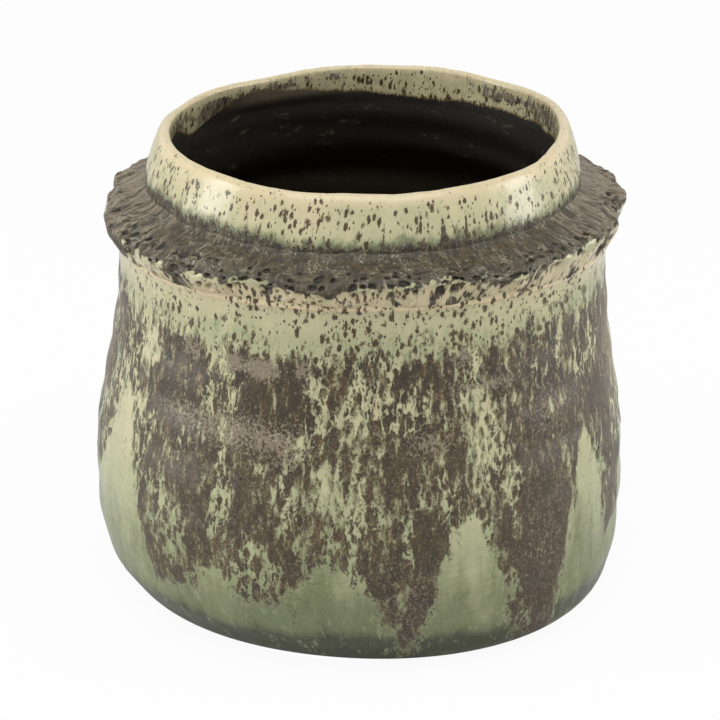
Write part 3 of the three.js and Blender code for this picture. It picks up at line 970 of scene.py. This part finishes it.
class POT_OT_wall(PotMaker, bpy.types.Operator):
    """Make the wall and foot: one closed skin, from the drain hole out under the foot, up the outside to
    the ridge, over the seat and down the inside"""

    bl_idname = "pot.make_wall"
    bl_label = "Wall and foot"
    columns = 560

    def build(self, form, colours):
        """The profile is a loop of curves, from the drain hole out, up and back down the inside."""
        outline = Outline(form)
        ring = form.foot_radius - form.ring_width
        under = straight(
            (form.drain_radius, form.recess),
            (ring - form.recess, form.recess),
            (ring - form.recess / 2, form.recess / 4),
            (ring, 0),
            (form.foot_radius, 0),
        )
        heights = form.base_height * np.linspace(0, 1, 200) ** 2
        heights = np.concatenate((heights, steps(form.base_height, outline.hollow_height)[1:]))
        outside = (outline.outside(heights), heights)
        climb = np.linspace(0, 1, 120)
        bulge = form.hollow_radius + (form.ridge_radius - form.hollow_radius) * climb**2.2
        ridge = (bulge, blend(outline.hollow_height, outline.ridge_height, climb))
        shoulder_reach = (form.seat_margin, form.ridge_drop)
        shoulder = arc((outline.seat_radius, outline.ridge_height), shoulder_reach, 0, np.pi / 2)
        seat = straight((outline.seat_radius, form.body_height), (outline.neck_inner, form.body_height))
        floor_end = (form.drain_radius, form.floor_top)
        fine = 1.15 * MM
        radius, height, along, ends = joined(
            (under, 3 * MM),
            (outside, fine),
            (ridge, fine / 2),
            (shoulder, fine / 2),
            (seat, 4 * MM),
            (traced(outline.wall_inside, form.body_height, form.base_height), 8 * MM),
            (outline.cove(), 4 * MM),
            (straight((outline.cove_start, form.floor_top), floor_end), 12 * MM),
            (straight(floor_end, (form.drain_radius, form.recess)), 3 * MM),
        )
        rows = np.arange(radius.size)
        outer = ((rows >= ends[0]) & (rows < ends[3])).astype(float)
        bare = ((rows < ends[0]) | (rows >= ends[6])).astype(float)
        rising = slice(0, 80)  # rows from the drain hole to past the belly
        belly = np.interp(form.belly_height, height[rising], along[rising])
        along = along - belly + form.belly_height
        self.turn(form, colours, outline, *upright(radius, height, along, outer, bare))

    def turn(self, form, colours, outline, radius, height, along, skin, bare):
        """Turns the profile, lays the coats on it and adds their relief."""
        angle = bearings(self.columns)
        x, y, z = outline.shape(radius, height, angle, skin)
        up = smooth(height, outline.hollow_height, outline.ridge_height)
        down = 1 - smooth(height, outline.ridge_height, form.body_height)
        z = z - skin * form.ridge_dip * up * down * np.cos(angle) ** 2
        grid, tall = np.broadcast_arrays(angle, height)
        umber = np.where(skin > 0, wall_umber(grid, tall), -1)
        thick = smooth(umber, -0.1, 0.4)
        relief = (
            0.25 * thick
            + grain(grid, tall, (0.1, 2.4, 7, 21), (0.12, 12, 12, 22), (0.2, 38, 22, 23))
            - patches(grid, tall, DENTS)
            - 0.3 * pits(grid, tall, 7 * MM, 0.3, 24) * thick
            - WALL_SINK
        )
        calm = 1 - smooth(tall, outline.ridge_height - 2 * MM, form.body_height)
        calm = calm * smooth(tall, 0, 10 * MM)
        ridge_line = np.exp(-(((tall - outline.ridge_height) / (0.6 * MM)) ** 2))
        x, y, z = raised(x, y, z, (relief * calm + 0.3 * ridge_line) * MM * skin)
        shoulder = smooth(tall, outline.ridge_height, outline.ridge_height + 1 * MM)
        waist_pool = 0.22 * np.exp(-(((tall - 113 * MM) / (5 * MM)) ** 2))
        sag = tall + grain(grid, tall, (3 * MM, 26, 60, 31))
        pool = 0.14 + waist_pool + 0.6 * (1 - smooth(sag, 14 * MM, 84 * MM)) - 0.3 * ridge_line
        pool = pool + 0.84 * (1 - smooth(sag, 4 * MM, 20 * MM))
        near_top = smooth(tall, 98 * MM, 116 * MM)
        specks = 0.16 + 0.34 * near_top + 0.3 * shoulder + patches(grid, tall, WALL_SPECKS)
        layers = {
            "umber": umber,
            "pool": pool,
            "blush_and_painted_light": 0.9 * ridge_line * skin,
            "bare": np.maximum(bare, (1 - smooth(tall, 0.1 * MM, 0.9 * MM)) * skin),
            "specks": specks + grain(grid, tall, (0.16, 16, 12, 32)),
            "frost": patches(grid, tall, FROSTINGS_AND_EDGE_SHEEN),
            "amber": 0.2 + 0.35 * smooth(tall, 70 * MM, 92 * MM),
            "craze": 1 - smooth(tall, 44 * MM, 80 * MM),
        }
        piece = skin_mesh("wall_and_foot", x, y, z, flow_field(grid, along, radius), layers)
        stand_in(piece, colours, "body_glaze", "body_wall", "foot_base")


class POT_OT_flange(PotMaker, bpy.types.Operator):
    """Make the torn flange: a drooping ring whose top sweeps up the neck, with a lumpy, pitted edge"""

    bl_idname = "pot.make_flange"
    bl_label = "Torn flange"
    columns = 1080

    def build(self, form, colours):
        """A Bezier underside from the ridge, a rounded edge and a Bezier top up the neck, turned, torn by
        sums of cosines and roughened by lattices of random values."""
        outline = Outline(form)
        edge = form.body_height + form.flange_lift
        half = form.flange_thickness / 2
        top_height = outline.flange_top + 1.2 * MM
        top_radius = outline.neck_outside(top_height) - 0.65 * MM
        side = (outline.neck_outside(form.body_height) + 0.3 * MM, form.body_height)
        rim = form.flange_radius - half
        seat = form.ridge_radius - 0.35 * MM
        joint = outline.ridge_height + 0.2 * MM
        rounded = arc((rim, edge), (half, half), -np.radians(50), np.pi / 2, 80)
        under = bezier((seat, joint), (seat + 1.5 * MM, joint + 0.7 * MM), rounded[:, 0])
        top = bezier(
            (rim, edge + half),
            (blend(top_radius, rim, 0.68), blend(edge + half, outline.flange_top, 0.55)),
            (top_radius + 1.3 * MM, blend(edge + half, outline.flange_top, 0.5)),
            (top_radius, top_height),
        )
        fine = 0.55 * MM
        radius, height, along, ends = joined(
            (under, fine),
            (rounded, fine),
            (top, fine),
            (straight((top_radius, top_height), side), 4 * MM),
            (straight(side, (seat, joint)), 4 * MM),
        )
        rows = np.arange(radius.size)
        shown = (rows < ends[2]).astype(float)
        torn = np.interp(rows, (0, ends[0], ends[1], ends[2]), (0, 1, 1, 0)) * shown
        under_share = 1 - smooth(rows, 0.7 * ends[0], ends[1] - 0.1 * (ends[1] - ends[0]))
        along = JUNCTION + along - along[ends[2] - 1]
        outward = smooth(radius, top_radius, rim)
        angle = bearings(self.columns)
        radius, height, shown, torn, along, outward, under_share = upright(
            radius, height, shown, torn, along, outward, under_share
        )
        grid, along = np.broadcast_arrays(angle, along)
        wander = waves(TEAR_WAVES, angle) + grain(angle, 0 * angle, (0.25 * MM, 5, 50, 41))
        droop = waves(DROOP_WAVES, angle) + grain(angle, 0 * angle, (0.35 * MM, 6, 50, 42))
        x, y, z = outline.shape(radius + torn**1.5 * wander, height, angle, 0)
        near_joint = 1 - smooth(height, joint, edge)
        z = z + torn**1.5 * droop - form.ridge_dip * near_joint * np.cos(angle) ** 2
        lumps = grain(grid, along, (0.6, 6.5, 5, 43), (0.3, 3.2, 2.8, 44), (0.06, 1.5, 1.5, 45))
        lumps = lumps + grain(grid, along, (0.34, 1.7, 12, 46)) * np.cos(grid) ** 2
        craters = np.maximum(pits(grid, along, 5.3 * MM, 0.6, 47), pits(grid, along, 3.1 * MM, 0.45, 62))
        craters = craters * smooth(torn, 0.4, 0.9)
        relief = lumps * blend(0.3, 1.2, outward) - craters - FLANGE_SINK
        x, y, z = raised(x, y, z, relief * MM * shown * smooth(torn, 0, 0.12))
        fingers = grain(grid, along, (0.8, 3.2, 3.6, 48), (0.6, 8, 8, 50), (0.5, 1.6, 1.8, 63))
        crust = CRUST_WHOLE - 1.1 * under_share + 0.5 * craters + fingers * smooth(under_share, 0, 0.3)
        above = (height - outline.flange_top) / MM
        layers = {
            "crust": np.minimum(crust, crust_margin(crust_climb(grid), above)),
            # Celadon pools thicker where the flange meets the neck; on the underside the pool falls to 0,
            # the palest cream, which paints light into the shade under the flange.
            "pool": blend(neck_pool(above), 0, under_share) + grain(grid, along, (0.1, 5, 5, 49)),
            "moss": blend(0.8, 0.15, smooth(above, -3, -6)),
            # Painted sheen: silvery streaks at the flange's left and right as seen, where the tent's
            # grazing reflections fall.
            "frost": 0.75 * np.cos(grid) ** 4 * (1 - under_share),
            # Painted light: blush lightens the flange's underside, which lies in shade.
            "blush_and_painted_light": 0.3 * smooth(under_share, 0.6, 1),
            "specks": 0.4 + 0.3 * under_share,
            "holes": smooth(craters, 0.35, 0.8),
        }
        piece = skin_mesh("torn_flange", x, y, z, flow_field(grid, along, radius), layers)
        stand_in(piece, colours, "flange_glaze", "shoulder_flange")


class POT_OT_neck(PotMaker, bpy.types.Operator):
    """Make the neck: a short wall rounded in to a thin, uneven lip, glazed inside and out"""

    bl_idname = "pot.make_neck"
    bl_label = "Neck and lip"
    columns = 900

    def build(self, form, colours):
        """The outside's power curve, a Bezier crown, a quarter-round and the inside's ease, turned and
        roughened."""
        outline = Outline(form)
        half = form.lip_thickness / 2
        shoulder = outline.lip_centre - 3 * MM
        outer_end = outline.flange_top - 2 * MM
        inner_end = outline.liner_top - 6 * MM
        start = outline.neck_outside(shoulder)
        lean = outline.neck_outside(shoulder + 1 * MM) - start
        crown = bezier(
            (start, shoulder),
            (start + 2.8 * lean, shoulder + 2.8 * MM),
            (outline.lip_radius + 1.6 * MM, outline.pot_height),
            (outline.lip_radius, outline.pot_height),
        )
        round_in = arc((outline.lip_radius, outline.lip_centre), (half, half), np.pi / 2, np.pi)
        foot = straight((outline.neck_inner, form.body_height), (outline.neck_foot, form.body_height))
        fine = 0.6 * MM
        radius, height, along, ends = joined(
            (traced(outline.neck_outside, outer_end, shoulder), fine),
            (np.concatenate((crown, round_in[:, 1:]), 1), fine / 1.5),
            (traced(outline.neck_inside, outline.lip_centre, inner_end), fine),
            (traced(outline.neck_inside, inner_end, form.body_height), 4 * MM),
            (foot, 4 * MM),
            (traced(outline.neck_outside, form.body_height, outer_end), 4 * MM),
        )
        rows = np.arange(radius.size)
        shown = (rows < ends[2]).astype(float)
        inner = (rows >= (ends[0] + ends[1]) / 2).astype(float)
        meeting = outline.flange_top + 2.2 * MM
        along = JUNCTION + along - np.interp(meeting, height[: ends[0]], along[: ends[0]])
        angle = bearings(self.columns)
        radius, height, shown, along, inner = upright(radius, height, shown, along, inner)
        x, y, z = outline.shape(radius, height, angle, 0)
        grid, along, tall, inner = np.broadcast_arrays(angle, along, height, inner)
        crest = smooth(tall, shoulder, outline.pot_height)
        relief = grain(grid, along, (0.2, 16, 9, 51), (0.08, 5, 4, 52)) - NECK_SINK
        relief = relief + grain(grid, 0 * along, (0.12, 9, 50, 53)) * crest
        x, y, z = raised(x, y, z, relief * MM * shown)
        above = (tall - outline.flange_top) / MM
        spikes = 8 * smooth(grain(grid, 0 * along, (1, 1.1, 30, 60)), 0.35, 1)
        climb = crust_climb(grid)
        within = patches(grid, tall, LIP_CRUSTS) - 0.8
        low_edge = outline.liner_top - 1.5 * MM
        drawn_up = np.clip((climb + spikes - above) / 2, -1, 0.4) - 0.1
        fringe = outline.liner_top / MM + grain(grid, 0 * along, (1, 9, 60, 56))
        for bearing, wide, size in LINER_EDGE:
            fringe = fringe + size * np.exp(-((apart(grid, bearing) / wide) ** 2))
        soot = np.exp(-((apart(grid, 114) / 22) ** 4)) * smooth(tall, low_edge, low_edge + 3.5 * MM)
        specks = 0.52 - 0.35 * crest + patches(grid, tall, NECK_SPECKS)
        layers = {
            "umber": np.where(inner > 0, -1, drawn_up),
            "crust": np.where(inner > 0, within, crust_margin(climb, above)),
            "liner": np.where(inner > 0, np.clip((fringe - tall / MM) / 1.6, -1, 1), -1),
            "pool": neck_pool(above) + grain(grid, along, (0.1, 12, 8, 57)) - 0.3 * crest,
            "blush_and_painted_light": 0.4 * crest,
            "specks": specks + grain(grid, along, (0.2, 9, 7, 58)),
            "frost": 0.6 * inner,
            "dusty": 0.55 * inner * soot,
            "amber": 0.2,
            "moss": blend(0.8, 0.2, inner),
        }
        piece = skin_mesh("neck_and_lip", x, y, z, flow_field(grid, along, radius), layers)
        stand_in(piece, colours, "neck_glaze", "neck_collar")


class POT_OT_liner(PotMaker, bpy.types.Operator):
    """Make the liner glaze: a dark skin down the inside and over the floor, open at the drain hole"""

    bl_idname = "pot.make_liner"
    bl_label = "Liner glaze"
    columns = 640

    def build(self, form, colours):
        """The inside of neck, gallery, wall and cove, moved in from the clay, and back as a second skin
        behind it; at the top the face meets the neck at a shallow angle."""
        outline = Outline(form)
        top = outline.liner_top - 1 * MM
        parts = (
            traced(outline.neck_inside, top, form.body_height),
            traced(outline.wall_inside, form.body_height, form.base_height)[:, 1:],
            outline.cove()[:, 1:],
            straight((form.drain_radius + 2 * MM, form.floor_top)),
        )
        run = spaced(*np.concatenate(parts, 1), 1.6 * MM)
        radius, height = run
        slope = np.hypot(np.gradient(radius), np.gradient(height))
        inward = np.stack((np.gradient(height), -np.gradient(radius))) / slope
        depth = form.glaze_gap + form.liner_thickness
        feather = smooth(top - height, 0, 8 * MM)
        face = run + inward * blend(-0.7 * MM, depth, feather)
        back = (run + inward * blend(-1 * MM, form.glaze_gap, feather))[:, ::-3]
        radius, height = np.concatenate((face, back), 1)
        shown = np.arange(radius.size) < face.shape[1]
        angle = bearings(self.columns)
        radius, height, shown = upright(radius, height, shown)
        x, y, z = outline.shape(radius, height, angle, 0)
        grid, tall = np.broadcast_arrays(angle, height)
        ribs = 0.25 * np.sin(TURN * tall / (11 * MM) - 2 * grid) * smooth(tall, 16 * MM, 40 * MM)
        relief = ribs + grain(grid, tall, (0.2, 9, 6, 61))
        x, y, z = raised(x, y, z, relief * MM * shown * smooth(top - tall, 0, 12 * MM))
        piece = skin_mesh("liner_glaze_skin", x, y, z, flow_field(grid, tall, radius), {})
        stand_in(piece, colours, "liner_glaze", "liner_glaze")


class POT_OT_stage(bpy.types.Operator):
    """Set up the camera, the soft lamps and the white paper"""

    bl_idname = "pot.make_stage"
    bl_label = "Stage"
    bl_options = {"REGISTER", "UNDO"}

    def execute(self, context):
        """Camera on the pot's front, a soft box at each side, one above, and paper that stays white."""
        stage = context.scene.pot_stage
        scene = context.scene
        scene.view_settings.view_transform = "Standard"
        aim = Vector((0, 0, stage.aim_height))
        back = Vector((0, -np.cos(stage.elevation), np.sin(stage.elevation)))
        camera = bpy.data.objects.new("camera", bpy.data.cameras.new("camera"))
        camera.data.lens = stage.lens
        camera.data.clip_end = 20
        self.place(camera, aim + back * stage.distance, aim)
        scene.camera = camera
        for name, place, size, power in LAMPS:
            lamp = bpy.data.lights.new(name, "AREA")
            lamp.shape = "RECTANGLE"
            lamp.size, lamp.size_y = size
            lamp.energy = power
            self.place(bpy.data.objects.new(name, lamp), Vector(place), Vector(LAMP_AIM))
        self.paper(stage)
        self.surround(scene)
        return {"FINISHED"}

    def place(self, thing, where, aim):
        """Puts a camera or lamp where it stands, looking at the aim."""
        thing.location = where
        thing.rotation_euler = (aim - where).to_track_quat("-Z", "Y").to_euler()
        bpy.context.collection.objects.link(thing)

    def paper(self, stage):
        """A ring of white paper, seen mostly as plain white so that only the pot's shadow shades it. It
        starts under the foot ring and is clear from below, so that the underside can be seen too."""
        rows, columns = 40, 96
        reach = np.linspace(PAPER_HOLE, PAPER_EDGE, rows)[:, None]
        angle = np.linspace(0, TURN, columns, endpoint=False)
        x, y = np.broadcast_arrays(reach * np.cos(angle), reach * np.sin(angle))
        points = np.stack((x, y, np.full_like(x, -PAPER_DEPTH)), -1).reshape(-1, 3)
        row, column = np.meshgrid(np.arange(rows - 1), np.arange(columns), indexing="ij")
        after = (column + 1) % columns
        corners = ((row, column), (row + 1, column), (row + 1, after), (row, after))
        faces = np.stack([one * columns + other for one, other in corners], -1)
        mesh = bpy.data.meshes.new("paper")
        mesh.from_pydata(points.tolist(), [], faces.reshape(-1, 4).tolist())
        floor = bpy.data.objects.new("paper", mesh)
        bpy.context.collection.objects.link(floor)
        material = bpy.data.materials.new("White paper")
        material.use_nodes = True
        tree = material.node_tree
        tree.nodes.clear()
        path = add(tree, "ShaderNodeLightPath", {})
        seen = {0: path["Is Camera Ray"], 1: stage.paper_light}
        share = add(tree, "ShaderNodeMath", seen, operation="MULTIPLY")[0]
        matt = add(tree, "ShaderNodeBsdfDiffuse", {"Color": PAPER_COLOUR})[0]
        glow = add(tree, "ShaderNodeEmission", {"Color": tuple(stage.backdrop), "Strength": 1.0})[0]
        surface = add(tree, "ShaderNodeMixShader", {0: share, 1: matt, 2: glow})[0]
        clear = add(tree, "ShaderNodeBsdfTransparent", {})[0]
        below = add(tree, "ShaderNodeNewGeometry", {})["Backfacing"]
        surface = add(tree, "ShaderNodeMixShader", {0: below, 1: surface, 2: clear})[0]
        add(tree, "ShaderNodeOutputMaterial", {"Surface": surface})
        mesh.materials.append(material)

    def surround(self, scene):
        """A white tent: plain white to the camera and in reflections, dimmer as light."""
        world = bpy.data.worlds.new("White tent")
        scene.world = world
        world.use_nodes = True
        tree = world.node_tree
        tree.nodes.clear()
        path = add(tree, "ShaderNodeLightPath", {})
        seen = {"Value": path["Is Glossy Ray"], "To Min": DIFFUSE_TENT, "To Max": GLOSSY_TENT}
        seen = add(tree, "ShaderNodeMapRange", seen)[0]
        level = add(tree, "ShaderNodeMath", {0: seen, 1: path["Is Camera Ray"]}, operation="MAXIMUM")[0]
        glow = add(tree, "ShaderNodeBackground", {"Color": (1, 1, 1, 1), "Strength": level})[0]
        add(tree, "ShaderNodeOutputWorld", {"Surface": glow})


class POT_PT_planter(bpy.types.Panel):
    """Lists the pot's pieces and sizes in the sidebar."""

    bl_label = "Thrown planter"
    bl_space_type = "VIEW_3D"
    bl_region_type = "UI"
    bl_category = "Planter"

    def draw(self, context):
        """A button for each operator, then the sizes and colours."""
        for operator in OPERATORS:
            self.layout.operator(operator.bl_idname)
        for group in (context.scene.pot_form, context.scene.pot_colours, context.scene.pot_stage):
            column = self.layout.column()
            for name in group.__annotations__:
                column.prop(group, name)


GROUPS = {"pot_form": PotForm, "pot_colours": PotColours, "pot_stage": PotStage}
OPERATORS = (POT_OT_stage, POT_OT_wall, POT_OT_flange, POT_OT_neck, POT_OT_liner)
CLASSES = (*GROUPS.values(), *OPERATORS, POT_PT_planter)


def register():
    """Registers the classes and hangs the property groups on the scene."""
    for one in CLASSES:
        bpy.utils.register_class(one)
    for name, group in GROUPS.items():
        setattr(bpy.types.Scene, name, bpy.props.PointerProperty(type=group))


def unregister():
    """Undoes register."""
    for name in GROUPS:
        delattr(bpy.types.Scene, name)
    for one in reversed(CLASSES):
        bpy.utils.unregister_class(one)


def main():
    """Builds the stage and every piece."""
    register()
    bpy.ops.pot.make_stage()
    bpy.ops.pot.make_wall()
    bpy.ops.pot.make_flange()
    bpy.ops.pot.make_neck()
    bpy.ops.pot.make_liner()
    bpy.context.view_layer.update()


if __name__ == "__main__":
    main()
